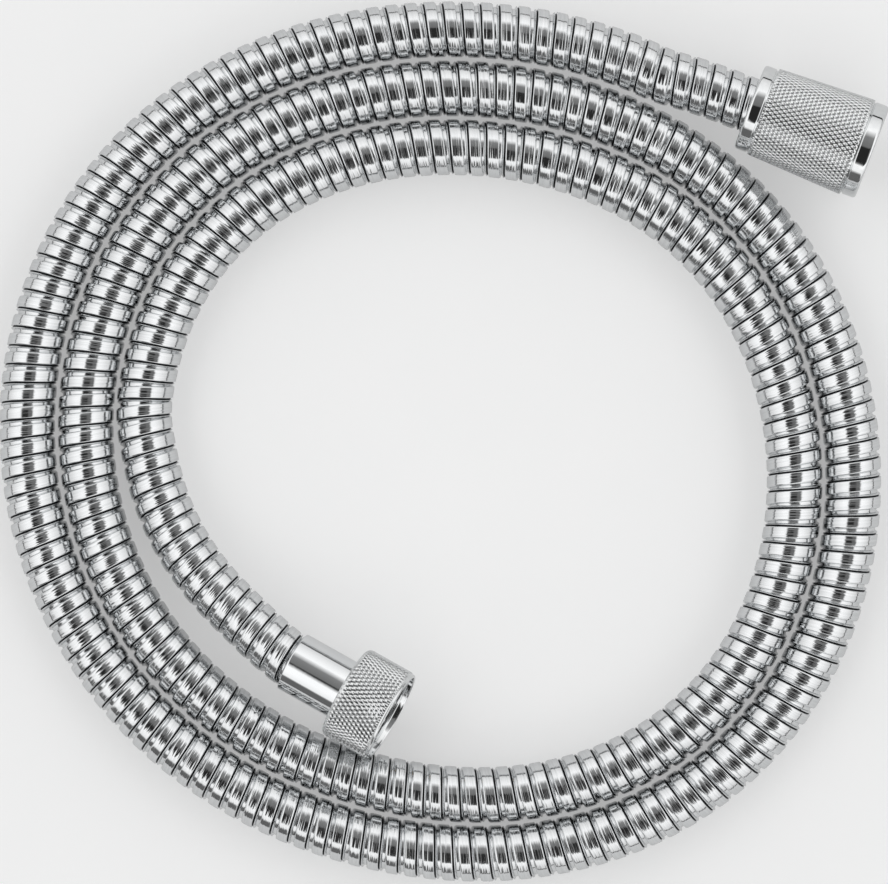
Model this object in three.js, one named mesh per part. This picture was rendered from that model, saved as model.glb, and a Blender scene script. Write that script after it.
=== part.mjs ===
// Shower hose: an interlocked steel casing round a rubber water tube, coiled flat,
// with a long cone nut at the handset end and a short nut at the supply end.
// Millimetres, +Z up, origin on the surface it lies on, under the middle of the coil.
import * as THREE from 'three'

// Hose section
const casingOuterRadius = 7.35
const casingWall = 1.5
const casingSides = 12
const tubeWall = 1.4
const tubeSides = 8

// Flat coil: its centre, the centreline radius at angle 0 and the gap between turns
const coilCentreX = 3.616
const coilCentreY = -3.617
const coilRadius = 119
const turnGap = 0.8
// The coil isn't a true circle: [lobes round a turn, their height as a share of the radius,
// angle of the first lobe]
const coilLobes = [
  [2, 0.02745, -26],
  [3, 0.00505, 51.4],
  [4, 0.00497, 41.1],
]
const coilStartAngle = 66
const coilEndAngle = 894
const coilStep = 12

// Where the ends leave the coil, chosen by hand: [angle, hose diameters inside the coil's line]
const handsetLeads = [
  [61.3, 0],
]
const supplyLeads = [
  [898.6, 0.06],
  [908.1, 0.14],
  [917.6, 0.23],
  [927.2, 0.33],
  [937, 0.41],
  [945.7, 0.4],
]

// Clearances between pieces
const seatGap = 0.2
const casingClearance = 0.35
const sleeveClearance = 0.25
const bendClearance = 0.7
const slideClearance = 0.3
const boreClearance = 0.35
const tubeClearance = 0.3

// Sleeves that hold the hose ends, and the inserts pushed into the water tube
const sleeveSocketDepth = 9.3
const supplySleeveWall = 0.5
const handsetSleeveWall = 1
const handsetSleeveLength = 18
const sleeveCorner = 0.25
const insertWall = 0.6
const barbHeight = 0.45
const barbPitch = 3.6
const barbCount = 3
const stemNeck = 2.4
const flangeThickness = 1.5
const flangeOverlap = 0.57
const ringThickness = 0.9
const washerThickness = 2
const washerWidth = 4.2

// Both nuts take a half-inch parallel pipe thread, this deep from crest to root
const threadDepth = 1.16

// Long nut at the handset end, a cone that widens to its mouth: its back face lies this far
// outside the coil's line
const coneNutAngle = 50
const coneNutOutset = 4.8
const coneNutHeading = -21
const coneNutLength = 34.4
const coneNutBack = 3
const coneNutWall = 1.52
const coneNutRise = 1.25
const coneCollarLength = 3.6
const coneCollarStep = 0.4
const coneLipLength = 4
const coneLipStep = 0.45
const coneCorner = 0.6

// Short nut at the supply end: its mouth leans on the second turn of the coil and a little
// over it, which holds its back corner off the surface. A stretch of sleeve shows behind it.
const shortNutAngle = 616.06
const shortNutOverhang = 2.1
const shortNutLift = 2
const shortNutHeading = -29
const shortNutTilt = 7.5
const shortNutLength = 14.2
const shortNutBack = 2.2
const shortNutWall = 2.32
const shortNutCorner = 0.7
const sleeveShown = 16

const nutSegments = 32
const innerSegments = 24
const straightBehindConeNut = 16

const radians = THREE.MathUtils.degToRad

const chrome = new THREE.MeshStandardMaterial({ color: '#dcdee0', metalness: 1, roughness: 0.08 })
const knurledChrome = new THREE.MeshStandardMaterial({ color: '#c9cbcd', metalness: 1, roughness: 0.28 })
const steel = new THREE.MeshStandardMaterial({ color: '#cfd1d3', metalness: 1, roughness: 0.16 })
const brass = new THREE.MeshStandardMaterial({ color: '#c9a558', metalness: 1, roughness: 0.3 })
const rubber = new THREE.MeshStandardMaterial({ color: '#26272a', metalness: 0, roughness: 0.8 })
const tubeRubber = new THREE.MeshStandardMaterial({ color: '#e4e2dc', metalness: 0, roughness: 0.55 })
const ringPlastic = new THREE.MeshStandardMaterial({ color: '#f1f0ea', metalness: 0, roughness: 0.45 })

const hose = new THREE.Group()

function addMesh(parent, name, geometry, material) {
  const mesh = new THREE.Mesh(geometry, material)
  mesh.name = name
  parent.add(mesh)
}

// A solid turned about +Z from a closed outline of [radius, height along the axis] points
function turned(outline, segments) {
  const points = [...outline, outline[0]].map(([radius, along]) => new THREE.Vector2(radius, along))
  return new THREE.LatheGeometry(points, segments).rotateX(Math.PI / 2)
}

// Radii of what fits in and over each other
const casingBoreRadius = casingOuterRadius - casingWall
const tubeOuterRadius = casingBoreRadius - casingClearance
const tubeBoreRadius = tubeOuterRadius - tubeWall
const barbRadius = tubeBoreRadius - tubeClearance
const socketRadius = casingOuterRadius + sleeveClearance
const tubeSocketRadius = tubeOuterRadius + tubeClearance
const supplySleeveRadius = socketRadius + supplySleeveWall
const handsetSleeveRadius = socketRadius + handsetSleeveWall
const coneHoleRadius = casingOuterRadius + bendClearance
const shortHoleRadius = supplySleeveRadius + slideClearance
const flangeRadius = shortHoleRadius + flangeOverlap
const threadCrestRadius = flangeRadius + boreClearance
const threadRootRadius = threadCrestRadius + threadDepth
const coneKnurlRearRadius = threadRootRadius + coneNutWall
const coneKnurlFrontRadius = coneKnurlRearRadius + coneNutRise
const coneCollarRadius = coneKnurlRearRadius - coneCollarStep
const coneLipRadius = coneKnurlFrontRadius - coneLipStep
const shortNutRadius = threadRootRadius + shortNutWall

// Centreline radius of the coil at an angle in degrees, counted on through the turns
function coilRadiusAt(angle) {
  const turnSpacing = 2 * casingOuterRadius + turnGap
  const lobes = coilLobes.map(([count, share, first]) => share * Math.cos(count * radians(angle - first)))
  return coilRadius * (1 + lobes.reduce((sum, lobe) => sum + lobe, 0)) - turnSpacing * angle / 360
}

// A point this far from the coil's centre at an angle in degrees
function aroundCoil(radius, angle, height) {
  return new THREE.Vector3(
    coilCentreX + radius * Math.cos(radians(angle)),
    coilCentreY + radius * Math.sin(radians(angle)),
    height,
  )
}

// A frame on the axis of a hose end, whose +Z points out of the hose
function endFrame(position, heading, tilt) {
  const end = new THREE.Group()
  end.position.copy(position)
  end.rotation.set(0, Math.PI / 2 - tilt, heading, 'ZYX')
  end.updateMatrixWorld()
  return end
}

// A point on the axis of a hose end
function onAxis(end, along) {
  return end.localToWorld(new THREE.Vector3(0, 0, along))
}

// The cone nut lies on its knurl, so its axis tilts by the slope of the knurl
const coneKnurlLength = coneNutLength - coneCollarLength - coneLipLength
const coneTilt = Math.atan2(coneNutRise, coneKnurlLength)
const coneRadiusAtBack = coneKnurlRearRadius - coneCollarLength * Math.tan(coneTilt)
const coneBack = aroundCoil(
  coilRadiusAt(coneNutAngle) + coneNutOutset,
  coneNutAngle,
  coneRadiusAtBack * Math.cos(coneTilt),
)
const handsetEnd = endFrame(coneBack, radians(coneNutHeading), coneTilt)

// The short nut leans back from its mouth, and the sleeve runs down from it to the hose
const sleeveTilt = radians(shortNutTilt)
const mouthAlong = sleeveShown + shortNutLength
const mouthRadius = coilRadiusAt(shortNutAngle) - casingOuterRadius - shortNutRadius + shortNutOverhang
const mouthHeight = shortNutLift + shortNutRadius * Math.cos(sleeveTilt)
  + (shortNutLength - shortNutCorner) * Math.sin(sleeveTilt)
const mouth = aroundCoil(mouthRadius, shortNutAngle, mouthHeight)
const supplyEnd = endFrame(mouth, radians(shortNutHeading), sleeveTilt)
supplyEnd.position.copy(onAxis(supplyEnd, -mouthAlong))
supplyEnd.updateMatrixWorld()

// Places along the handset end's axis, from the back face of the cone nut
const handsetRingAt = coneNutBack + seatGap
const handsetSleeveAt = handsetRingAt + ringThickness + seatGap
const handsetFlangeAt = handsetSleeveAt + handsetSleeveLength + seatGap
const handsetWasherAt = handsetFlangeAt + flangeThickness + seatGap
const handsetCasingEnd = handsetSleeveAt + sleeveSocketDepth - tubeClearance
const handsetTubeEnd = handsetFlangeAt - tubeClearance

// Places along the supply end's axis, from the back edge of the sleeve
const supplyRingAt = sleeveShown + shortNutBack + seatGap
const supplyFlangeAt = supplyRingAt + ringThickness + seatGap
const supplyWasherAt = supplyFlangeAt + flangeThickness + seatGap
const supplySleeveLength = supplyFlangeAt - seatGap
const supplyCasingEnd = sleeveSocketDepth - tubeClearance
const supplyTubeEnd = supplyFlangeAt - tubeClearance

// From where an end lets go of the hose it sinks to the surface along a parabola
function settle(points, start, tilt) {
  const lift = start.z - casingOuterRadius
  const reach = 2 * lift / Math.tan(tilt)
  let travelled = 0
  let last = start
  for (const point of points) {
    travelled += Math.hypot(point.x - last.x, point.y - last.y)
    last = point
    if (travelled >= reach) return
    point.z += lift * (1 - travelled / reach) ** 2
  }
}

function leadPoint([angle, inset]) {
  const radius = coilRadiusAt(angle) - inset * 2 * casingOuterRadius
  return aroundCoil(radius, angle, casingOuterRadius)
}

const lying = handsetLeads.map(leadPoint)
for (let angle = coilStartAngle; angle <= coilEndAngle; angle += coilStep) {
  lying.push(aroundCoil(coilRadiusAt(angle), angle, casingOuterRadius))
}
lying.push(...supplyLeads.map(leadPoint))

const handsetStraightEnd = onAxis(handsetEnd, -straightBehindConeNut)
settle(lying, handsetStraightEnd, coneTilt)
settle([...lying].reverse(), supplyEnd.position, sleeveTilt)

const casingStations = [
  onAxis(handsetEnd, handsetCasingEnd),
  handsetStraightEnd,
  ...lying,
  supplyEnd.position,
  onAxis(supplyEnd, supplyCasingEnd),
]
const tubeStations = [
  onAxis(handsetEnd, handsetTubeEnd),
  ...casingStations,
  onAxis(supplyEnd, supplyTubeEnd),
]

// A path that has a section at each of its stations, however far apart they are
class StationPath extends THREE.Curve {
  constructor(stations) {
    super()
    this.stations = stations
  }

  getPoint(t, target = new THREE.Vector3()) {
    const along = t * (this.stations.length - 1)
    const index = Math.min(Math.floor(along), this.stations.length - 2)
    return target.lerpVectors(this.stations[index], this.stations[index + 1], along - index)
  }

  getUtoTmapping(u) {
    return u
  }
}

function polygon(path, radius, sides) {
  const points = []
  for (let side = 0; side < sides; side++) {
    const angle = side * 2 * Math.PI / sides
    points.push(new THREE.Vector2(radius * Math.cos(angle), radius * Math.sin(angle)))
  }
  return path.setFromPoints(points)
}

// A pipe along the stations: outer radius at its corners, bore radius at its flats
function pipe(stations, outerRadius, boreRadius, sides) {
  const section = polygon(new THREE.Shape(), outerRadius, sides)
  section.holes.push(polygon(new THREE.Path(), boreRadius / Math.cos(Math.PI / sides), sides))
  return new THREE.ExtrudeGeometry(section, {
    steps: stations.length - 1,
    extrudePath: new StationPath(stations),
  })
}

// The insert: a flange that seals against the washer, and a barbed stem in the water tube
function insertGeometry(flangeAt) {
  const front = flangeAt + flangeThickness
  const tip = flangeAt - stemNeck - barbCount * barbPitch
  const rootRadius = barbRadius - barbHeight
  const boreRadius = rootRadius - insertWall
  const outline = [
    [boreRadius, front],
    [boreRadius, tip],
    [rootRadius, tip],
  ]
  for (let barb = 1; barb <= barbCount; barb++) {
    outline.push([barbRadius, tip + barb * barbPitch])
    outline.push([rootRadius, tip + barb * barbPitch])
  }
  outline.push([rootRadius, flangeAt], [flangeRadius, flangeAt], [flangeRadius, front])
  return turned(outline, innerSegments)
}

// A flat ring or washer
function ringGeometry(innerRadius, outerRadius, at, thickness) {
  const outline = [
    [innerRadius, at],
    [outerRadius, at],
    [outerRadius, at + thickness],
    [innerRadius, at + thickness],
  ]
  return turned(outline, innerSegments)
}

// A sleeve with a wide socket for the casing and a narrow bore for the water tube
function sleeveOutline(at, length, radius) {
  return [
    [socketRadius, at],
    [radius - sleeveCorner, at],
    [radius, at + sleeveCorner],
    [radius, at + length],
    [tubeSocketRadius, at + length],
    [tubeSocketRadius, at + sleeveSocketDepth],
    [socketRadius, at + sleeveSocketDepth],
  ]
}

// The mouth and bore of a nut, from its front face back to its shoulder
function nutBore(mouthAt, shoulderAt, holeRadius, backAt) {
  const leadIn = threadRootRadius - threadCrestRadius
  return [
    [threadRootRadius, mouthAt],
    [threadCrestRadius, mouthAt - leadIn],
    [threadCrestRadius, shoulderAt],
    [holeRadius, shoulderAt],
    [holeRadius, backAt],
  ]
}

const coneNutOutline = [
  ...nutBore(coneNutLength, coneNutBack, coneHoleRadius, 0),
  [coneCollarRadius - coneCorner, 0],
  [coneCollarRadius, coneCorner],
  [coneCollarRadius, coneCollarLength],
  [coneKnurlRearRadius, coneCollarLength],
  [coneKnurlFrontRadius, coneNutLength - coneLipLength],
  [coneLipRadius, coneNutLength - coneLipLength],
  [coneLipRadius, coneNutLength - coneCorner],
  [coneLipRadius - coneCorner, coneNutLength],
]

const shortNutOutline = [
  ...nutBore(sleeveShown + shortNutLength, sleeveShown + shortNutBack, shortHoleRadius, sleeveShown),
  [shortNutRadius - shortNutCorner, sleeveShown],
  [shortNutRadius, sleeveShown + shortNutCorner],
  [shortNutRadius, sleeveShown + shortNutLength - shortNutCorner],
  [shortNutRadius - shortNutCorner, sleeveShown + shortNutLength],
]

const casingPipe = pipe(casingStations, casingOuterRadius, casingBoreRadius, casingSides)
const tubePipe = pipe(tubeStations, tubeOuterRadius, tubeBoreRadius, tubeSides)
const handsetSleeve = sleeveOutline(handsetSleeveAt, handsetSleeveLength, handsetSleeveRadius)
const supplySleeve = sleeveOutline(0, supplySleeveLength, supplySleeveRadius)
const handsetRing = ringGeometry(coneHoleRadius, handsetSleeveRadius, handsetRingAt, ringThickness)
const supplyRing = ringGeometry(shortHoleRadius, flangeRadius, supplyRingAt, ringThickness)
const washerBoreRadius = flangeRadius - washerWidth
const handsetWasher = ringGeometry(washerBoreRadius, flangeRadius, handsetWasherAt, washerThickness)
const supplyWasher = ringGeometry(washerBoreRadius, flangeRadius, supplyWasherAt, washerThickness)

addMesh(hose, 'hose_casing', casingPipe, steel)
addMesh(hose, 'water_tube', tubePipe, tubeRubber)

addMesh(handsetEnd, 'handset_cone_nut', turned(coneNutOutline, nutSegments), knurledChrome)
addMesh(handsetEnd, 'handset_slip_ring', handsetRing, ringPlastic)
addMesh(handsetEnd, 'handset_crimp_sleeve', turned(handsetSleeve, innerSegments), steel)
addMesh(handsetEnd, 'handset_barbed_insert', insertGeometry(handsetFlangeAt), brass)
addMesh(handsetEnd, 'handset_seal_washer', handsetWasher, rubber)

addMesh(supplyEnd, 'supply_ferrule', turned(supplySleeve, nutSegments), chrome)
addMesh(supplyEnd, 'supply_nut', turned(shortNutOutline, nutSegments), knurledChrome)
addMesh(supplyEnd, 'supply_slip_ring', supplyRing, ringPlastic)
addMesh(supplyEnd, 'supply_barbed_insert', insertGeometry(supplyFlangeAt), brass)
addMesh(supplyEnd, 'supply_seal_washer', supplyWasher, rubber)

hose.add(handsetEnd, supplyEnd)

export default hose
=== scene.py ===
import math

import bpy
import numpy as np
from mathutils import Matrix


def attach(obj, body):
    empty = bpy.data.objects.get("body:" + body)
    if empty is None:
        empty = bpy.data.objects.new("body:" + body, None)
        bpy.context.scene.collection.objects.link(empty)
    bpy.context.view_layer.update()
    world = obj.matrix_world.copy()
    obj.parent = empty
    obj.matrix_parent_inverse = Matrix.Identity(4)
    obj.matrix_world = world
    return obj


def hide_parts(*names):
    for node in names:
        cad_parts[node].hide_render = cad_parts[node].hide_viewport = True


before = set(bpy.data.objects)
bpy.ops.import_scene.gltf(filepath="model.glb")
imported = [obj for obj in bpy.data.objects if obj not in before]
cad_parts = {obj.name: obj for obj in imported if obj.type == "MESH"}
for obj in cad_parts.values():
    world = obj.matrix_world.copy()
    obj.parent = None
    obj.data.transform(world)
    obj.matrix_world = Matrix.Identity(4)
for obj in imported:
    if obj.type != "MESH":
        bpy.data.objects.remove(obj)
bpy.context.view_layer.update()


# The shower hose lies coiled flat on a pale table and is photographed from straight above
# through a long lens. Metres here: the width that the picture takes in at the height of the
# hose's middle, the place under the middle of the picture, and the lens's height over it.
photo_width = 0.23443
photo_centre = (0.000171, -0.000152)
hose_middle = 0.007
lens_height = 1.5
lens = bpy.data.cameras.new("long_lens")
lens.lens = lens.sensor_width * lens_height / photo_width
lens.clip_end = 20
camera = bpy.data.objects.new("camera", lens)
camera.location = (*photo_centre, lens_height + hose_middle)
bpy.context.scene.collection.objects.link(camera)
bpy.context.scene.camera = camera
bpy.context.scene.view_settings.view_transform = "Standard"


# The room: white screens that fade towards the table, a dark gap low down, a dark stand at the
# front left, and overhead a grey opening with the black rig that holds the lens in its front.
# A way up through the opening is told by how far it goes across and back for each step up.
screen_light, low_screen_light = 1.55, 1.023
opening_front_light, opening_back_light = 0.2, 0.38
rig_light, stand_light, backdrop_light = 0.03, 0.18, 0.86
opening_back = 0.72
stand_way = (-0.485, -0.875, 0.0)


def node(tree, kind, sockets=None, **settings):
    """Adds one node, sets its properties, and gives each named socket its value or its link."""
    made = tree.nodes.new(kind)
    for name, value in settings.items():
        setattr(made, name, value)
    for socket, value in (sockets or {}).items():
        if isinstance(value, bpy.types.NodeSocket):
            tree.links.new(value, made.inputs[socket])
        else:
            made.inputs[socket].default_value = value
    return made


room = bpy.data.worlds.new("white_screens")
room.use_nodes = True
room.node_tree.nodes.clear()
sky = room.node_tree
way = node(sky, "ShaderNodeTexCoord").outputs["Generated"]
parts = node(sky, "ShaderNodeSeparateXYZ", {0: way}).outputs
up = node(sky, "ShaderNodeMath", {0: parts["Z"], 1: 0.02}, operation="MAXIMUM").outputs[0]
across = node(sky, "ShaderNodeMath", {0: parts["X"], 1: up}, operation="DIVIDE").outputs[0]
back = node(sky, "ShaderNodeMath", {0: parts["Y"], 1: up}, operation="DIVIDE").outputs[0]
stand_side = node(sky, "ShaderNodeVectorMath", {0: way, 1: stand_way}, operation="DOT_PRODUCT")

zones = []
for sides in (
    ((across, -0.44, -0.32), (across, 0.56, 0.44), (back, -0.91, -0.81), (back, 0.94, 0.5)),
    ((across, -0.36, -0.3), (across, 0.18, 0.12), (back, 0.08, 0.02)),
    ((stand_side.outputs["Value"], 0.8, 0.87), (parts["Z"], 0.5, 0.4)),
):
    zone = 1.0
    for value, outside, inside in sides:
        side = node(sky, "ShaderNodeMapRange", {
            "Value": value, "From Min": outside, "From Max": inside,
        }).outputs[0]
        zone = node(sky, "ShaderNodeMath", {0: zone, 1: side}, operation="MULTIPLY").outputs[0]
    zones.append(zone)
opening, rig, stand = zones

opening_light = node(sky, "ShaderNodeMapRange", {
    "Value": back, "From Min": -0.1, "From Max": opening_back,
    "To Min": opening_front_light, "To Max": opening_back_light,
}).outputs[0]
opening_light = node(sky, "ShaderNodeMix", {0: rig, 2: opening_light, 3: rig_light}).outputs[0]
screens = node(sky, "ShaderNodeMapRange", {
    "Value": parts["Z"], "From Min": 0.1, "From Max": 0.75,
    "To Min": low_screen_light, "To Max": screen_light,
}).outputs[0]
gap = node(sky, "ShaderNodeMapRange", {
    "Value": parts["Z"], "From Min": 0.06, "From Max": 0.1,
}).outputs[0]
screens = node(sky, "ShaderNodeMath", {0: screens, 1: gap}, operation="MULTIPLY").outputs[0]
screens = node(sky, "ShaderNodeMix", {0: stand, 2: screens, 3: stand_light}).outputs[0]
light = node(sky, "ShaderNodeMix", {0: opening, 2: screens, 3: opening_light}).outputs[0]
seen_straight = node(sky, "ShaderNodeLightPath").outputs["Is Camera Ray"]
seen = node(sky, "ShaderNodeMix", {0: seen_straight, 2: light, 3: backdrop_light}).outputs[0]
glow = node(sky, "ShaderNodeBackground", {"Strength": seen})
node(sky, "ShaderNodeOutputWorld", {"Surface": glow.outputs[0]})
bpy.context.scene.world = room


# The table top: a wide sheet of matt white laminate. Its own faint light, stronger to the
# camera than in the metal's mirror, makes it as pale as the photo's ground, and it still takes
# the hose's shadow.
table_half = 6.0
table_lift, mirrored_lift = 0.36, 0.2


def mesh_piece(name, points, quads, triangles=(), material=None, quad_uv=None):
    """A mesh object from arrays: points in metres, quads and triangles as rows of point
    numbers. quad_uv gives a texture place for each corner of each quad."""
    quads = np.asarray(quads, dtype=np.int32).reshape(-1, 4)
    triangles = np.asarray(triangles, dtype=np.int32).reshape(-1, 3)
    corners = np.concatenate([quads.ravel(), triangles.ravel()])
    starts = np.concatenate([
        np.arange(len(quads)) * 4,
        len(quads) * 4 + np.arange(len(triangles)) * 3,
    ])
    mesh = bpy.data.meshes.new(name)
    mesh.vertices.add(len(points))
    mesh.vertices.foreach_set("co", np.asarray(points, dtype=np.float32).ravel())
    mesh.loops.add(len(corners))
    mesh.loops.foreach_set("vertex_index", corners)
    mesh.polygons.add(len(starts))
    mesh.polygons.foreach_set("loop_start", starts.astype(np.int32))
    if quad_uv is not None:
        places = np.zeros((len(corners), 2), dtype=np.float32)
        places[:len(quads) * 4] = quad_uv.reshape(-1, 2)
        mesh.uv_layers.new(name="strip").data.foreach_set("uv", places.ravel())
    mesh.update(calc_edges=True)
    mesh.validate()
    mesh.shade_smooth()
    made = bpy.data.objects.new(name, mesh)
    if material is not None:
        mesh.materials.append(material)
    bpy.context.scene.collection.objects.link(made)
    return made


def linear(hex_colour):
    """An sRGB hex colour as linear light: each channel c becomes ((c + 0.055) / 1.055) ^ 2.4,
    or c / 12.92 where it is dark."""
    channels = np.array([int(hex_colour[i:i + 2], 16) for i in (1, 3, 5)]) / 255
    light = np.where(channels > 0.04045, ((channels + 0.055) / 1.055) ** 2.4, channels / 12.92)
    return (*light.tolist(), 1.0)


def new_material(name):
    """An empty node material and its tree."""
    material = bpy.data.materials.new(name)
    material.use_nodes = True
    material.node_tree.nodes.clear()
    return material, material.node_tree


def laminate():
    """Matt laminate, white with a faint mottle of a few centimetres."""
    material, tree = new_material("matt_white_laminate")
    places = node(tree, "ShaderNodeTexCoord").outputs["Object"]
    mottle = node(tree, "ShaderNodeTexNoise", {"Vector": places, "Scale": 40.0, "Detail": 3.0})
    shade = node(tree, "ShaderNodeMix", {
        0: mottle.outputs[0], 6: linear("#cccdcd"), 7: linear("#d0d0d0"),
    }, data_type="RGBA")
    surface = node(tree, "ShaderNodeBsdfPrincipled", {
        "Base Color": shade.outputs[2], "Roughness": 0.75, "Specular IOR Level": 0.2,
    })
    rays = node(tree, "ShaderNodeLightPath").outputs
    mirrored = node(tree, "ShaderNodeMath", {
        0: rays["Is Glossy Ray"], 1: mirrored_lift,
    }, operation="MULTIPLY")
    lift = node(tree, "ShaderNodeMath", {
        0: rays["Is Camera Ray"], 1: table_lift, 2: mirrored.outputs[0],
    }, operation="MULTIPLY_ADD")
    pale = node(tree, "ShaderNodeEmission", {"Strength": lift.outputs[0]})
    both = node(tree, "ShaderNodeAddShader", {0: surface.outputs[0], 1: pale.outputs[0]})
    node(tree, "ShaderNodeOutputMaterial", {"Surface": both.outputs[0]})
    return material


table = mesh_piece(
    "table_top",
    [(-table_half, -table_half, 0), (table_half, -table_half, 0),
     (table_half, table_half, 0), (-table_half, table_half, 0)],
    [(0, 1, 2, 3)],
    material=laminate(),
)


# The casing: one stainless steel strip, folded in section and wound so that each turn hooks
# into the last. From the handset on, each turn has a neck, a steep shoulder, a wide bright
# crest and a dark narrow seam. Millimetres from here on, brought to metres at the mesh.
metre = 0.001
casing_radius, turn_gap = 7.35, 0.8
coil_centre, coil_radius = np.array([3.616, -3.617]), 119
turn_spacing = 2 * casing_radius + turn_gap
straight_at_handset, casing_in_cone_nut, casing_in_ferrule = 16, 13.3, 9.0
line_step, span_steps = 0.5, 60
tangent_spread, bend_spread = 6, 12

# The coil isn't quite round: each lobe is its count round the coil, its share of the radius and
# the angle of its first crest. The leads to the two fittings are angles with an inset, in hose
# widths, and angles count on from turn to turn.
coil_lobes = ((2, 0.02745, -26), (3, 0.00505, 51.4), (4, 0.00497, 41.1))
first_coil_angle, last_coil_angle, coil_step = 66, 894, 12
handset_leads = ((61.3, 0),)
supply_leads = (
    (898.6, 0.06), (908.1, 0.14), (917.6, 0.23), (927.2, 0.33), (937, 0.41), (945.7, 0.4),
)

# The two nuts hold the casing's ends, so their outer sizes and places come first: the angle
# round the coil, the heading and tilt in degrees, and how far each stands out or leans over.
cone_nut_angle, cone_nut_outset, cone_nut_heading = 50, 4.8, -21
cone_nut_length, cone_collar, cone_lip = 34.4, 3.6, 4.0
knurl_rear, knurl_front = 12.0, 13.25
short_nut_angle, short_nut_heading, short_nut_tilt = 616.06, -29, 7.5
short_nut_overhang, short_nut_lift = 2.1, 2
short_nut_radius, short_nut_length, short_nut_corner, sleeve_shown = 12.8, 14.2, 0.7, 16


def line_radius(angle):
    """Distance of the hose's line from the coil's centre: the coil's radius with its lobes,
    less one turn spacing for each turn already made."""
    lobes = sum(
        share * np.cos(count * np.radians(angle - first)) for count, share, first in coil_lobes
    )
    return coil_radius * (1 + lobes) - turn_spacing * angle / 360


def around(radius, angle, height):
    """Points at these distances and angles from the coil's centre, at a height."""
    turn = np.radians(angle)
    x = coil_centre[0] + radius * np.cos(turn)
    y = coil_centre[1] + radius * np.sin(turn)
    return np.stack([x, y, np.broadcast_to(height, np.shape(x))], axis=-1)


def axis_of(heading, tilt):
    """Unit direction out of a hose end: level at its heading, then raised by its tilt."""
    return np.array([
        math.cos(tilt) * math.cos(heading), math.cos(tilt) * math.sin(heading), math.sin(tilt),
    ])


cone_tilt = math.atan2(knurl_front - knurl_rear, cone_nut_length - cone_collar - cone_lip)
cone_back_radius = knurl_rear - cone_collar * math.tan(cone_tilt)
handset_axis = axis_of(math.radians(cone_nut_heading), cone_tilt)
handset_place = around(
    line_radius(cone_nut_angle) + cone_nut_outset,
    cone_nut_angle,
    cone_back_radius * math.cos(cone_tilt),
)
supply_tilt = math.radians(short_nut_tilt)
supply_axis = axis_of(math.radians(short_nut_heading), supply_tilt)
mouth_radius = line_radius(short_nut_angle) - casing_radius - short_nut_radius + short_nut_overhang
mouth_height = (short_nut_lift + short_nut_radius * math.cos(supply_tilt)
                + (short_nut_length - short_nut_corner) * math.sin(supply_tilt))
supply_place = (around(mouth_radius, short_nut_angle, mouth_height)
                - (sleeve_shown + short_nut_length) * supply_axis)


def settle(points, start, tilt):
    """Lifts points near a held end: the height above the lying hose falls as a parabola,
    lift * (1 - travelled / reach)^2, that starts with the end's own tilt."""
    lift = start[2] - casing_radius
    reach = 2 * lift / math.tan(tilt)
    steps = np.linalg.norm(np.diff(np.vstack([start, points])[:, :2], axis=0), axis=1)
    left = np.clip(1 - np.cumsum(steps) / reach, 0, None)
    points[:, 2] += lift * left ** 2


coil_places = [(angle, 0) for angle in range(first_coil_angle, last_coil_angle + 1, coil_step)]
turns, insets = np.array([*handset_leads, *coil_places, *supply_leads], dtype=float).T
lying = around(line_radius(turns) - insets * 2 * casing_radius, turns, casing_radius)
handset_straight = handset_place - straight_at_handset * handset_axis
settle(lying, handset_straight, cone_tilt)
settle(lying[::-1], supply_place, supply_tilt)
casing_starts = handset_place + casing_in_cone_nut * handset_axis
casing_ends = supply_place + casing_in_ferrule * supply_axis
stations = np.vstack([casing_starts, handset_straight, lying, supply_place, casing_ends])


def smooth_line(stations, step):
    """A curve through the stations: each span is a cubic whose slopes at the stations are the
    mean of the spans beside them, weighted by the other one's length. Returns points a step
    apart along it."""
    spans = np.diff(stations, axis=0)
    lengths = np.linalg.norm(spans, axis=1)[:, None]
    slopes = spans / lengths
    inner = (slopes[:-1] * lengths[1:] + slopes[1:] * lengths[:-1]) / (lengths[1:] + lengths[:-1])
    slopes = np.vstack([slopes[:1], inner, slopes[-1:]])
    t = np.linspace(0, 1, span_steps, endpoint=False)[None, :, None]
    a, b = stations[:-1, None], stations[1:, None]
    da, db = (slopes[:-1] * lengths)[:, None], (slopes[1:] * lengths)[:, None]
    cubic = (a * (2 * t ** 3 - 3 * t ** 2 + 1) + da * (t ** 3 - 2 * t ** 2 + t)
             + b * (3 * t ** 2 - 2 * t ** 3) + db * (t ** 3 - t ** 2))
    fine = np.vstack([cubic.reshape(-1, 3), stations[-1:]])
    travelled = np.concatenate([[0], np.cumsum(np.linalg.norm(np.diff(fine, axis=0), axis=1))])
    places = np.linspace(0, travelled[-1], int(round(travelled[-1] / step)) + 1)
    return np.stack([np.interp(places, travelled, fine[:, k]) for k in range(3)], axis=1), places


line, line_places = smooth_line(stations, line_step)
casing_length = line_places[-1]


def rounded_off(values, width):
    """A running mean along the first axis: each value with width more on either side, where
    the first and last values stand in beyond the ends."""
    before = np.repeat(values[:1], width, 0)
    after = np.repeat(values[-1:], width, 0)
    total = np.cumsum(np.vstack([np.zeros(3), before, values, after]), axis=0)
    return (total[2 * width + 1:] - total[:-2 * width - 1]) / (2 * width + 1)


tangents = np.gradient(line, line_places, axis=0)
tangents = rounded_off(tangents / np.linalg.norm(tangents, axis=1)[:, None], tangent_spread)
tangents /= np.linalg.norm(tangents, axis=1)[:, None]
bends = rounded_off(np.gradient(tangents, line_places, axis=0), bend_spread)


def at_places(values, places):
    """Values along the line, read off at any places."""
    flat = places.ravel()
    read = np.stack([np.interp(flat, line_places, values[:, k]) for k in range(3)], axis=1)
    return read.reshape(*places.shape, 3)


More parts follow.
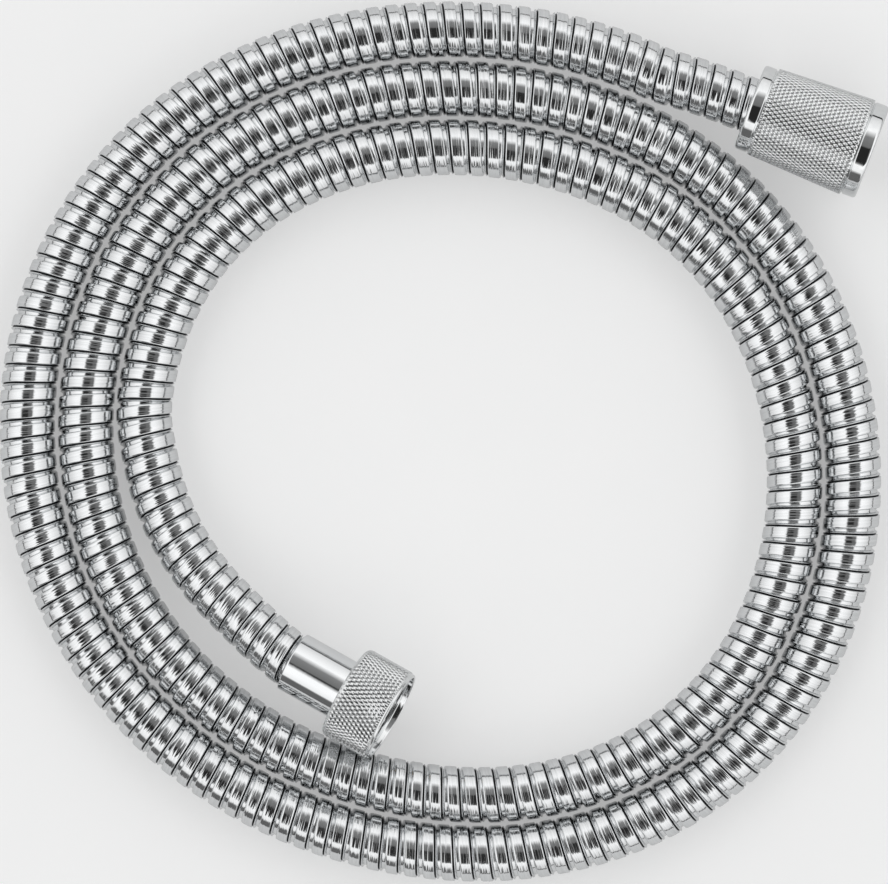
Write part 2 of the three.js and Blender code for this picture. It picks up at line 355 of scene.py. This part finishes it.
def round_line(places, angles, radii):
    """Points round the line: at each place the side and upward directions square to the line,
    times the cosine and sine of the angle, times the radius."""
    tangent = at_places(tangents, places)
    side = np.stack([-tangent[..., 1], tangent[..., 0], 0 * tangent[..., 0]], axis=-1)
    side /= np.linalg.norm(side, axis=-1)[..., None]
    upward = np.cross(tangent, side)
    out = np.cos(angles)[..., None] * side + np.sin(angles)[..., None] * upward
    return at_places(line, places) + out * radii[..., None], out


# One turn of strip is a profile of (along, radius) points, seen from the handset: neck, shoulder,
# crest, and the seam where the next turn hooks in. seam_shade weights the painted shade in the seam.
strip_pitch, strip_sides, spare_ends = 4.8, 22, 0.6
bore_radius, bore_rings = 5.86, 110
strip_profile = np.array([
    (0.00, 6.32), (0.10, 6.93), (0.26, 7.23), (0.46, 7.32), (0.76, 7.35), (2.92, 7.35), (3.12, 7.31),
    (3.25, 7.15), (3.32, 6.76), (3.62, 6.76), (3.72, 7.15), (3.96, 7.02), (4.20, 6.42),
])
crest_middle = 1.85
seam_shade = np.array([0.3, 0, 0, 0, 0, 0, 0, 0, 1.0, 1.0, 0, 0, 0.3])


def wound_strip():
    """The casing's outside as one long helix of strip. Point j of the profile at helix step n
    lies at place pitch * n / sides + s_j along the line and angle 2 pi n / sides round it, so
    the end of one profile is the start of the profile one turn on. Distances along the line
    are divided by 1 - bend * radius, so that the strip keeps its width all round a bend and the
    neck takes up the difference. Rings of a plain bore and a face at each end close it."""
    steps = int((casing_length - spare_ends) / strip_pitch) * strip_sides
    count = len(strip_profile)
    shape = (steps, count)
    margin = (casing_length - strip_pitch * steps / strip_sides) / 2
    starts = margin + strip_pitch * np.arange(steps)[:, None] / strip_sides
    angles = np.broadcast_to((2 * np.pi * np.arange(steps) / strip_sides)[:, None], shape)
    radii = np.broadcast_to(strip_profile[:, 1], shape)
    middle = np.broadcast_to(starts + crest_middle, shape)
    out = round_line(middle, angles, radii)[1]
    stretch = 1 - np.sum(at_places(bends, middle) * out, axis=-1) * radii
    places = np.clip(middle + (strip_profile[:, 0] - crest_middle) / stretch, 0, casing_length)
    outside = round_line(places, angles, radii)[0].reshape(-1, 3)

    # The winding's faces, with a texture place in millimetres along and across the strip.
    number = np.arange(steps * count).reshape(shape)
    rows = np.concatenate([number[:-strip_sides], number[strip_sides:, :1]], axis=1)
    quads = np.stack([rows[:-1, :-1], rows[1:, :-1], rows[1:, 1:], rows[:-1, 1:]], axis=-1)
    wound = 2 * np.pi * casing_radius * np.arange(len(rows)) / strip_sides
    across_strip = np.append(strip_profile[:, 0], strip_pitch)
    uv = np.zeros((*quads.shape, 2))
    uv[..., 0] = np.stack([wound[:-1], wound[1:], wound[1:], wound[:-1]], axis=1)[:, None]
    near, far = across_strip[:-1], across_strip[1:]
    uv[..., 1] = np.stack([near, near, far, far], axis=1)

    # The plain bore, half a turn short of both ends.
    half_pitch = strip_pitch / 2
    ring_places = np.linspace(starts[0, 0] + half_pitch, starts[-1, 0] - half_pitch, bore_rings)
    ring_angles = 2 * np.pi * np.arange(strip_sides) / strip_sides
    grid = np.meshgrid(ring_places, ring_angles, indexing="ij")
    bore = round_line(*grid, np.full(grid[0].shape, bore_radius))[0].reshape(-1, 3)
    inner = steps * count + np.arange(bore_rings * strip_sides).reshape(bore_rings, strip_sides)
    inner = np.concatenate([inner, inner[:, :1]], axis=1)
    bore_quads = np.stack([inner[:-1, 1:], inner[:-1, :-1], inner[1:, :-1], inner[1:, 1:]], axis=-1)

    # The end faces join the edge of the first and last turn to the bore.
    first = number[:strip_sides + 1, 0]
    start_quads = np.stack([first[1:], first[:-1], inner[0, :-1], inner[0, 1:]], axis=-1)
    start_fan = np.stack([rows[0, :-1], rows[0, 1:], np.full(count, inner[0, 0])], axis=-1)
    last_row = len(rows) - 1
    last = np.arange(last_row, last_row + strip_sides + 1)
    end_quads = np.stack([
        number[last[:-1], 0], number[last[1:], 0],
        inner[-1, last[1:] % strip_sides], inner[-1, last[:-1] % strip_sides],
    ], axis=-1)
    end_centre = inner[-1, last_row % strip_sides]
    end_fan = np.stack([rows[-1, 1:], rows[-1, :-1], np.full(count, end_centre)], axis=-1)

    # All together, without the points that no face uses.
    all_quads = np.concatenate([q.reshape(-1, 4) for q in (quads, bore_quads, start_quads, end_quads)])
    all_triangles = np.concatenate([start_fan, end_fan])
    all_uv = np.zeros((len(all_quads), 4, 2))
    all_uv[:quads.size // 4] = uv.reshape(-1, 4, 2)
    shade = np.concatenate([np.broadcast_to(seam_shade, shape).ravel(), np.zeros(len(bore))])
    used = np.unique(np.concatenate([all_quads.ravel(), all_triangles.ravel()]))
    renumber = np.zeros(steps * count + len(bore), dtype=np.int64)
    renumber[used] = np.arange(len(used))
    everything = np.concatenate([outside, bore])[used]
    return everything, renumber[all_quads], renumber[all_triangles], all_uv, shade[used]


def drawn_strip_steel():
    """Bright stainless strip, cold rolled then roll formed: polished, with straight marks along
    it, half a millimetre apart and coarser than the real ones so that they show, a waviness of
    about a millimetre, and painted shade in the seams, which are also made rougher."""
    material, tree = new_material("polished_stainless_strip")
    strip = node(tree, "ShaderNodeUVMap", uv_map="strip").outputs[0]
    seam = node(tree, "ShaderNodeAttribute", attribute_name="seam").outputs["Fac"]
    marks_place = node(tree, "ShaderNodeMapping", {"Vector": strip, "Scale": (0.025, 2.0, 1.0)})
    marks = node(tree, "ShaderNodeTexNoise", {
        "Vector": marks_place.outputs[0], "Scale": 1.0, "Detail": 1.0, "Roughness": 0.5,
    }, noise_dimensions="2D").outputs[0]
    wave_place = node(tree, "ShaderNodeMapping", {"Vector": strip, "Scale": (0.12, 0.9, 1.0)})
    wave = node(tree, "ShaderNodeTexNoise", {
        "Vector": wave_place.outputs[0], "Scale": 1.0, "Detail": 1.0,
    }, noise_dimensions="2D").outputs[0]
    height = node(tree, "ShaderNodeMath", {0: wave, 1: 0.5, 2: marks}, operation="MULTIPLY_ADD").outputs[0]
    bump = node(tree, "ShaderNodeBump", {"Height": height, "Strength": 1.0, "Distance": 0.00011})
    bright = node(tree, "ShaderNodeMix", {
        0: marks, 6: linear("#d3d5d6"), 7: linear("#e9eaeb"),
    }, data_type="RGBA").outputs[2]
    # Painted shade in the seam groove: the seam weight darkens the colour to near black and adds roughness.
    painted_seam_shade = node(tree, "ShaderNodeMapRange", {"Value": seam, "From Min": 0.35, "From Max": 1.0}).outputs[0]
    colour = node(tree, "ShaderNodeMix", {
        0: painted_seam_shade, 6: bright, 7: linear("#26282a"),
    }, data_type="RGBA").outputs[2]
    polish = node(tree, "ShaderNodeMapRange", {"Value": marks, "To Min": 0.07, "To Max": 0.16}).outputs[0]
    rough = node(tree, "ShaderNodeMath", {0: painted_seam_shade, 1: 0.5}, operation="MULTIPLY").outputs[0]
    rough = node(tree, "ShaderNodeMath", {0: polish, 1: rough}).outputs[0]
    surface = node(tree, "ShaderNodeBsdfPrincipled", {
        "Base Color": colour, "Metallic": 1.0, "Roughness": rough, "Normal": bump.outputs[0],
    })
    node(tree, "ShaderNodeOutputMaterial", {"Surface": surface.outputs[0]})
    return material


def flat_faces(piece):
    """Bends the shading towards the larger faces, so that flats mirror flat up to their edges."""
    weighted = piece.modifiers.new("flat_faces", "WEIGHTED_NORMAL")
    weighted.keep_sharp = True


points, quads, triangles, strip_uv, seam = wound_strip()
casing = mesh_piece("wound_casing", points * metre, quads, triangles, drawn_strip_steel(), strip_uv)
# The seam attribute carries the painted shade of the seam groove.
casing.data.attributes.new("seam", "FLOAT", "POINT").data.foreach_set("value", seam.astype(np.float32))
casing.data.set_sharp_from_angle(angle=math.radians(48))
flat_faces(casing)
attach(casing, "hose")
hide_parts("hose_casing")


# The rubber tube that carries the water inside the casing: extruded flexible rubber, pale and
# smooth, pushed over the two barbed inserts.
tube_radius, tube_bore = 5.5, 4.1
tube_sides, tube_rings, tube_short_by = 16, 420, 0.2


def soft_rubber(name, colour, deep):
    """Moulded or extruded rubber: matt, a little mottled, with a fine grain."""
    material, tree = new_material(name)
    places = node(tree, "ShaderNodeTexCoord").outputs["Object"]
    mottle = node(tree, "ShaderNodeTexNoise", {"Vector": places, "Scale": 400.0, "Detail": 4.0}).outputs[0]
    grain = node(tree, "ShaderNodeTexNoise", {"Vector": places, "Scale": 3500.0, "Detail": 2.0}).outputs[0]
    shade = node(tree, "ShaderNodeMix", {
        0: mottle, 6: linear(deep), 7: linear(colour),
    }, data_type="RGBA").outputs[2]
    bump = node(tree, "ShaderNodeBump", {
        "Height": grain, "Strength": 0.3, "Distance": 0.00004,
    }).outputs[0]
    surface = node(tree, "ShaderNodeBsdfPrincipled", {
        "Base Color": shade, "Roughness": 0.62, "Normal": bump,
    })
    node(tree, "ShaderNodeOutputMaterial", {"Surface": surface.outputs[0]})
    return material


def closed_ring_grid(rows, count):
    """Quads over rows of count points each, closed round the ring and from the last row to the
    first."""
    k = np.arange(rows * count).reshape(rows, count)
    k = np.concatenate([k, k[:, :1]], axis=1)
    k = np.concatenate([k, k[:1]], axis=0)
    return np.stack([k[:-1, :-1], k[:-1, 1:], k[1:, 1:], k[1:, :-1]], axis=-1).reshape(-1, 4)


def water_tube():
    """A pipe along the hose's line: rings of the outer radius from the handset to the supply,
    then rings of the bore radius back."""
    places = np.linspace(tube_short_by, casing_length - tube_short_by, tube_rings)
    there = np.concatenate([places, places[::-1]])
    radii = np.repeat([tube_radius, tube_bore], tube_rings)
    turn = 2 * np.pi * np.arange(tube_sides) / tube_sides
    grid = np.meshgrid(there, turn, indexing="ij")
    points = round_line(*grid, np.broadcast_to(radii[:, None], grid[0].shape))[0]
    return points.reshape(-1, 3), closed_ring_grid(len(there), tube_sides)


tube_points, tube_quads = water_tube()
inner_tube = mesh_piece(
    "inner_water_tube", tube_points * metre, tube_quads,
    material=soft_rubber("extruded_pale_rubber", "#e6e4de", "#d6d3ca"),
)
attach(inner_tube, "hose")
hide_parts("water_tube")


# The supply ferrule: a plain drawn sleeve, crimped over the inner end of the hose, its back
# edge rolled in. Chrome plated and polished, so it mirrors the room in long bands.


def square_to(axis):
    """Two unit directions square to an axis: level to its left, then up from both."""
    side = np.array([-axis[1], axis[0], 0]) / math.hypot(axis[0], axis[1])
    return side, np.cross(axis, side)


def turned_grid(place, axis, along, radii, count):
    """Rings round an axis: place + along * axis + radius * (cos a * side + sin a * up). radii
    has a row for each ring, and a column for each point or one for them all."""
    side, up = square_to(axis)
    turn = 2 * np.pi * np.arange(count) / count
    out = np.cos(turn)[:, None] * side + np.sin(turn)[:, None] * up
    radii = np.broadcast_to(radii.reshape(len(along), -1), (len(along), count))
    return place + np.asarray(along)[:, None, None] * axis + radii[..., None] * out


def turned_piece(name, place, axis, outline, material, count=96):
    """A closed turned solid from an outline of (along, radius) points, traced from the back
    outwards round to the bore."""
    outline = np.array(outline, dtype=float)
    points = turned_grid(place, axis, outline[:, 0], outline[:, 1], count).reshape(-1, 3)
    return mesh_piece(name, points * metre, closed_ring_grid(len(outline), count), material=material)


def mirror_chrome(name, colour, bright, roughness):
    """Chrome plate over polished brass: a hard clear mirror with a faint ripple about a
    millimetre across, and smears from handling in its gloss and shade."""
    material, tree = new_material(name)
    places = node(tree, "ShaderNodeTexCoord").outputs["Object"]
    smears = node(tree, "ShaderNodeTexNoise", {"Vector": places, "Scale": 120.0, "Detail": 4.0}).outputs[0]
    gloss = node(tree, "ShaderNodeMapRange", {
        "Value": smears, "From Min": 0.35, "From Max": 0.7,
        "To Min": roughness, "To Max": roughness + 0.05,
    }).outputs[0]
    shade = node(tree, "ShaderNodeMix", {
        0: smears, 6: linear(colour), 7: linear(bright),
    }, data_type="RGBA").outputs[2]
    ripple = node(tree, "ShaderNodeTexNoise", {"Vector": places, "Scale": 900.0, "Detail": 2.0}).outputs[0]
    bump = node(tree, "ShaderNodeBump", {
        "Height": ripple, "Strength": 0.12, "Distance": 0.00003,
    }).outputs[0]
    surface = node(tree, "ShaderNodeBsdfPrincipled", {
        "Base Color": shade, "Metallic": 1.0, "Roughness": gloss, "Normal": bump,
    })
    node(tree, "ShaderNodeOutputMaterial", {"Surface": surface.outputs[0]})
    return material


chrome = mirror_chrome("polished_chrome_plate", "#dfe1e3", "#eceded", 0.045)
ferrule_radius, ferrule_length, ferrule_socket = 8.1, 19.3, 9.3
ferrule = turned_piece("plain_ferrule", supply_place, supply_axis, [
    (0.05, 7.65), (0.0, 7.72), (0.0, 7.88), (0.05, 8.0), (0.17, 8.08), (0.3, ferrule_radius),
    (0.45, ferrule_radius), (1.2, ferrule_radius), (15.0, ferrule_radius),
    (ferrule_length - 0.5, ferrule_radius), (ferrule_length - 0.3, ferrule_radius),
    (ferrule_length, ferrule_radius - 0.2), (ferrule_length, 5.9), (ferrule_socket + 0.2, 5.85),
    (ferrule_socket, 6.1), (ferrule_socket, 7.6), (0.4, 7.61),
], chrome, count=128)
ferrule.data.set_sharp_from_angle(angle=math.radians(50))
flat_faces(ferrule)
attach(ferrule, "hose")
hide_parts("supply_ferrule")


# The two nuts are turned from brass bar, diamond knurled with a pair of rollers, threaded
# inside to take a half-inch parallel pipe thread, and chrome plated.
knurl_count, knurl_length, knurl_depth, knurl_samples = 62, 2.2, 0.34, 6
point_wear, knurl_fade, rim_depth = 1.85, 0.5, 0.3
# Painted shade in the knurl: how much it grows with groove depth and where two grooves cross.
painted_depth_shade, painted_crossing_shade = 0.3, 0.75
thread_pitch, thread_crest, thread_root, thread_samples = 1.814, 9.32, 10.3, 8
thread_back_fade, thread_mouth_fade = 0.9, 0.5
outer_count = knurl_count * knurl_samples
bore_count = outer_count // 3


def knurl(along, count):
    """Height of the knurl under its points, and how much painted shade each place gets. Two families of V
    grooves, at whole values of angle + along / length and angle - along / length, cross each
    other. The surface is the lower of the two, with its points worn flat. Its painted shade grows
    with depth, and is strongest where two grooves meet."""
    turn = np.arange(count)[None, :] / knurl_samples
    step = along[:, None] / knurl_length
    one = np.abs(2 * ((turn + step) % 1) - 1)
    other = np.abs(2 * ((turn - step) % 1) - 1)
    height = np.clip(np.minimum(one, other) * point_wear, 0, 1) - 1
    return knurl_depth * height, painted_crossing_shade * (1 - one) * (1 - other) - painted_depth_shade * height


def thread(along, count, start, stop):
    """Depth of the internal thread: a right-hand helix of along / pitch - angle, V shaped with
    its tips cut flat, that fades in at the back and out again at the mouth."""
    turn = np.arange(count)[None, :] / count
    wave = np.abs(2 * ((along[:, None] / thread_pitch - turn) % 1) - 1)
    back_fade = np.clip((along - start) / thread_back_fade, 0, 1)
    mouth_fade = np.clip((stop - along) / thread_mouth_fade, 0, 1)
    vee = np.clip(1.2 * wave - 0.1, 0, 1)
    return (thread_root - thread_crest) * vee * (back_fade * mouth_fade)[:, None]


def nut_piece(name, place, axis, outer_along, outer_radii, groove, inner_along, inner_radii, material):
    """A nut as two grids of rings, fine outside and a third as fine inside, joined at the back
    and mouth faces by strips of triangles. How much painted shade each point gets stays as an attribute."""
    outer = turned_grid(place, axis, outer_along, outer_radii, outer_count)
    inner = turned_grid(place, axis, inner_along, inner_radii, bore_count)
    outside = np.arange(len(outer) * outer_count).reshape(len(outer), outer_count)
    bore = outside.size + np.arange(len(inner) * bore_count).reshape(len(inner), bore_count)
    outside = np.concatenate([outside, outside[:, :1]], axis=1)
    bore = np.concatenate([bore, bore[:, :1]], axis=1)
    quads = np.concatenate([
        np.stack([k[:-1, :-1], k[:-1, 1:], k[1:, 1:], k[1:, :-1]], axis=-1).reshape(-1, 4)
        for k in (outside, bore)
    ])
    # At each face, f0 to f3 are four fine points outside and c0 and c1 the two coarse inside.
    fine, coarse = outside[-1], bore[0]
    f0, f1, f2, f3 = fine[0:-1:3], fine[1::3], fine[2::3], fine[3::3]
    c0, c1 = coarse[:-1], coarse[1:]
    mouth = [(f0, f1, c0), (f1, c1, c0), (f1, f2, c1), (f2, f3, c1)]
    fine, coarse = outside[0], bore[-1]
    f0, f1, f2, f3 = fine[0:-1:3], fine[1::3], fine[2::3], fine[3::3]
    c0, c1 = coarse[:-1], coarse[1:]
    rear = [(c0, f1, f0), (c0, c1, f1), (c1, f2, f1), (c1, f3, f2)]
    triangles = np.concatenate([np.stack(t, axis=-1) for t in mouth + rear])
    points = np.concatenate([outer.reshape(-1, 3), inner.reshape(-1, 3)])
    made = mesh_piece(name, points * metre, quads, triangles, material)
    # The groove attribute carries the knurl's painted shade.
    dark = np.concatenate([groove.ravel(), np.zeros(len(inner) * bore_count)]).astype(np.float32)
    made.data.attributes.new("groove", "FLOAT", "POINT").data.foreach_set("value", dark)
    made.data.set_sharp_from_angle(angle=math.radians(38))
    flat_faces(made)
    return made


def knurled_nut(name, place, axis, back_rows, knurl_line, front_rows, inner_rows, thread_span, material):
    """A nut's outside is plain rows at the back, knurled rows under a line of points, and plain
    rows at the front. Its bore is plain rows, with thread rows put in where the span says."""
    knurl_line = np.array(knurl_line, dtype=float)
    count = int(round((knurl_line[-1, 0] - knurl_line[0, 0]) / (knurl_length / knurl_samples)))
    rows = np.linspace(knurl_line[0, 0], knurl_line[-1, 0], count + 1)
    base = np.interp(rows, knurl_line[:, 0], knurl_line[:, 1])
    cut, dark = knurl(rows - rows[0], outer_count)
    fade = np.clip(np.minimum(rows - rows[0], rows[-1] - rows) / knurl_fade, 0, 1)[:, None]
    cut = cut * fade - knurl_depth * rim_depth * (1 - fade)
    back_rows = np.array(back_rows, dtype=float)
    front_rows = np.array(front_rows, dtype=float)
    along = np.concatenate([back_rows[:, 0], rows, front_rows[:, 0]])
    plain = np.ones(outer_count)
    radii = np.concatenate([back_rows[:, 1:] * plain, base[:, None] + cut, front_rows[:, 1:] * plain])
    groove = np.concatenate([0 * back_rows[:, 1:] * plain, dark * fade, 0 * front_rows[:, 1:] * plain])
    inner_rows = np.array(inner_rows, dtype=float)
    low, high = thread_span
    turns_at = np.arange(high, low, -thread_pitch / thread_samples)
    before = inner_rows[inner_rows[:, 0] >= high]
    after = inner_rows[inner_rows[:, 0] <= low]
    inner_along = np.concatenate([before[:, 0], turns_at, after[:, 0]])
    round_bore = np.ones(bore_count)
    inner_radii = np.concatenate([
        before[:, 1:] * round_bore,
        thread_crest + thread(turns_at, bore_count, low, high),
        after[:, 1:] * round_bore,
    ])
    return nut_piece(name, place, axis, along, radii, groove, inner_along, inner_radii, material)


def knurled_chrome():
    """Chrome plate over knurled brass: bright on the points, which handling keeps polished, and
    rougher in the grooves, where plate is thin, with painted shade there that is darkest where they cross."""
    material, tree = new_material("chrome_plated_knurl")
    places = node(tree, "ShaderNodeTexCoord").outputs["Object"]
    groove = node(tree, "ShaderNodeAttribute", attribute_name="groove").outputs["Fac"]
    speckle = node(tree, "ShaderNodeTexNoise", {"Vector": places, "Scale": 700.0, "Detail": 3.0}).outputs[0]
    bright = node(tree, "ShaderNodeMix", {
        0: speckle, 6: linear("#d8dadb"), 7: linear("#eeefef"),
    }, data_type="RGBA").outputs[2]
    dark = node(tree, "ShaderNodeMapRange", {
        "Value": groove, "From Min": 0.3, "From Max": 0.8, "To Max": 0.95,
    }).outputs[0]
    # Painted shade: the groove weight darkens the plate to dark grey in the grooves, most at crossings.
    shade = node(tree, "ShaderNodeMix", {
        0: dark, 6: bright, 7: linear("#3a3c3e"),
    }, data_type="RGBA").outputs[2]
    gloss = node(tree, "ShaderNodeMapRange", {
        "Value": groove, "From Min": 0.0, "From Max": 0.6, "To Min": 0.06, "To Max": 0.2,
    }).outputs[0]
    surface = node(tree, "ShaderNodeBsdfPrincipled", {
        "Base Color": shade, "Metallic": 1.0, "Roughness": gloss,
    })
    node(tree, "ShaderNodeOutputMaterial", {"Surface": surface.outputs[0]})
    return material


knurl_plate = knurled_chrome()


# The cone nut at the handset end widens to its mouth, with a polished collar and a narrow
# groove at each end of its knurl. Its shoulder turns on the slip ring over the crimp sleeve.
cone_hole, cone_collar_radius, cone_lip_radius = 8.05, 11.6, 12.8
cone_thread = (26.6, 33.6)
cone_nut = knurled_nut(
    "handset_knurled_cone_nut", handset_place, handset_axis,
    [(0.2, cone_hole), (0.03, 8.2), (0.0, 8.4), (0.0, 10.9), (0.06, 11.15), (0.25, 11.4), (0.5, 11.55),
     (0.75, cone_collar_radius), (0.95, cone_collar_radius), (3.0, cone_collar_radius),
     (3.15, 11.59), (3.28, 11.52), (3.35, 11.35), (3.6, 11.3), (3.75, 11.4)],
    [(3.85, knurl_rear), (30.25, knurl_front - 0.02)],
    [(30.42, 12.6), (30.5, 12.5), (30.62, 12.5), (30.72, 12.7), (30.85, 12.79),
     (31.0, cone_lip_radius), (31.15, cone_lip_radius), (33.25, cone_lip_radius),
     (33.45, cone_lip_radius), (33.8, 12.76), (34.12, 12.62), (34.32, 12.4), (34.4, 12.15), (34.4, 10.95)],
    [(34.36, 10.75), (34.2, 10.55), (33.7, 10.0), (26.3, 9.45), (23.0, 9.45), (22.5, thread_crest),
     (3.3, thread_crest), (3.0, 9.1), (3.0, 8.25), (2.9, 8.07), (0.5, cone_hole)],
    cone_thread, knurl_plate,
)
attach(cone_nut, "handset_nut")
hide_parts("handset_cone_nut")


# The short nut at the supply end is knurled from rim to rim, counterbored at its mouth, and
# turns and slides on the plain ferrule. Its rows are measured from its own back face.
short_hole = 8.4
short_thread = (sleeve_shown + 7.5, sleeve_shown + 12.65)


def from_ferrule(rows):
    """The nut's rows, measured from the ferrule's back edge: along + sleeve shown."""
    return [(sleeve_shown + along, radius) for along, radius in rows]


short_nut = knurled_nut(
    "supply_knurled_nut", supply_place, supply_axis,
    from_ferrule([(0.25, short_hole), (0.05, 8.5), (0, 8.8), (0, 11.75), (0.05, 11.95), (0.16, 12.15)]),
    from_ferrule([
        (0.28, 12.35), (0.6, 12.6), (1.0, 12.74), (1.5, short_nut_radius), (12.9, short_nut_radius),
        (13.3, 12.7),
    ]),
    from_ferrule([
        (13.42, 12.45), (13.5, 12.4), (13.62, 12.48), (13.8, 12.5), (14.0, 12.44), (14.14, 12.3),
        (short_nut_length, 12.12), (short_nut_length, 11.85),
    ]),
    from_ferrule([
        (14.15, 11.74), (14.0, 11.68), (13.8, 11.66), (12.9, 11.6), (12.75, 11.5), (12.7, 10.4),
        (7.3, 9.5), (2.5, 9.4), (2.2, 9.2), (2.2, 8.6), (2.0, 8.42), (0.5, short_hole),
    ]),
    short_thread, knurl_plate,
)
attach(short_nut, "supply_nut")
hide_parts("supply_nut")


# The seal washers: flat black rubber, punched and a little rounded at the edges. They stay
# with the hose and show in the mouths of the nuts.
washer_rubber = soft_rubber("moulded_black_rubber", "#2c2d30", "#202124")
flange_radius, washer_bore, washer_thickness = 8.97, 4.77, 2.0
washers = {}
for name, place, axis, back_face, node_name in (
    ("handset_flat_washer", handset_place, handset_axis, 24.2, "handset_seal_washer"),
    ("supply_flat_washer", supply_place, supply_axis, 21.2, "supply_seal_washer"),
):
    front = back_face + washer_thickness
    washers[node_name] = turned_piece(name, place, axis, [
        (back_face, washer_bore + 0.25), (back_face, flange_radius - 0.25),
        (back_face + 0.08, flange_radius - 0.07), (back_face + 0.25, flange_radius),
        (front - 0.25, flange_radius), (front - 0.08, flange_radius - 0.07),
        (front, flange_radius - 0.25), (front, washer_bore + 0.25),
        (front - 0.08, washer_bore + 0.07), (front - 0.25, washer_bore),
        (back_face + 0.25, washer_bore), (back_face + 0.08, washer_bore + 0.07),
    ], washer_rubber)
    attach(washers[node_name], "hose")
    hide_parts(node_name)


# The barbed inserts: turned brass, pushed into the water tube. Each has a flange that the nut
# pulls against the washer, and three barbs.


def turned_brass():
    """Free-cutting brass left bare: warm yellow, with a fine grain for the lathe tool's marks."""
    material, tree = new_material("turned_brass")
    places = node(tree, "ShaderNodeTexCoord").outputs["Object"]
    tone = node(tree, "ShaderNodeTexNoise", {"Vector": places, "Scale": 250.0, "Detail": 3.0}).outputs[0]
    shade = node(tree, "ShaderNodeMix", {
        0: tone, 6: linear("#b8944a"), 7: linear("#d2b069"),
    }, data_type="RGBA").outputs[2]
    grain = node(tree, "ShaderNodeTexNoise", {"Vector": places, "Scale": 2500.0, "Detail": 1.0}).outputs[0]
    bump = node(tree, "ShaderNodeBump", {"Height": grain, "Strength": 0.2, "Distance": 0.00003}).outputs[0]
    surface = node(tree, "ShaderNodeBsdfPrincipled", {
        "Base Color": shade, "Metallic": 1.0, "Roughness": 0.3, "Normal": bump,
    })
    node(tree, "ShaderNodeOutputMaterial", {"Surface": surface.outputs[0]})
    return material


brass = turned_brass()
barb, barb_root, insert_bore = 3.8, 3.35, 2.75
barb_count, barb_pitch, barb_slope = 3, 3.6, 3.4
flange_neck, flange_thickness = 2.4, 1.5
for name, place, axis, flange, node_name in (
    ("handset_turned_insert", handset_place, handset_axis, 22.5, "handset_barbed_insert"),
    ("supply_turned_insert", supply_place, supply_axis, 19.5, "supply_barbed_insert"),
):
    tip = flange - flange_neck - barb_count * barb_pitch
    front = flange + flange_thickness
    outline = [(tip, insert_bore + 0.1), (tip, barb_root)]
    for number in range(barb_count):
        crest = tip + barb_pitch * number + barb_slope
        step = tip + barb_pitch * (number + 1)
        outline += [(crest, barb), (step, barb - 0.02), (step, barb_root)]
    outline += [
        (flange - 0.1, barb_root), (flange, barb_root + 0.1), (flange, flange_radius - 0.15),
        (flange + 0.15, flange_radius), (front - 0.15, flange_radius), (front, flange_radius - 0.15),
        (front, insert_bore + 0.2), (front - 0.2, insert_bore),
    ]
    insert = turned_piece(name, place, axis, outline, brass, count=72)
    insert.data.set_sharp_from_angle(angle=math.radians(40))
    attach(insert, "hose")
    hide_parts(node_name)


# The hidden pieces keep their CAD shape: the crimp sleeve over the handset end, drawn steel,
# and the two slip rings, moulded acetal, that let the nuts turn.


def cad_finish(name, colour, deep, metallic, roughness):
    """A plain finish with a faint mottle, for a piece that keeps its CAD shape."""
    material, tree = new_material(name)
    places = node(tree, "ShaderNodeTexCoord").outputs["Object"]
    mottle = node(tree, "ShaderNodeTexNoise", {"Vector": places, "Scale": 500.0, "Detail": 3.0}).outputs[0]
    shade = node(tree, "ShaderNodeMix", {
        0: mottle, 6: linear(deep), 7: linear(colour),
    }, data_type="RGBA").outputs[2]
    gloss = node(tree, "ShaderNodeMapRange", {
        "Value": mottle, "To Min": roughness, "To Max": roughness + 0.1,
    }).outputs[0]
    surface = node(tree, "ShaderNodeBsdfPrincipled", {
        "Base Color": shade, "Metallic": metallic, "Roughness": gloss,
    })
    node(tree, "ShaderNodeOutputMaterial", {"Surface": surface.outputs[0]})
    return material


drawn_steel = cad_finish("drawn_stainless_sleeve", "#dcdddf", "#cfd1d3", 1.0, 0.18)
acetal = cad_finish("moulded_white_acetal", "#f3f2ed", "#e8e6df", 0.0, 0.4)
for node_name, finish in (
    ("handset_crimp_sleeve", drawn_steel), ("handset_slip_ring", acetal), ("supply_slip_ring", acetal),
):
    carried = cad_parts[node_name]
    carried.data.materials.clear()
    carried.data.materials.append(finish)
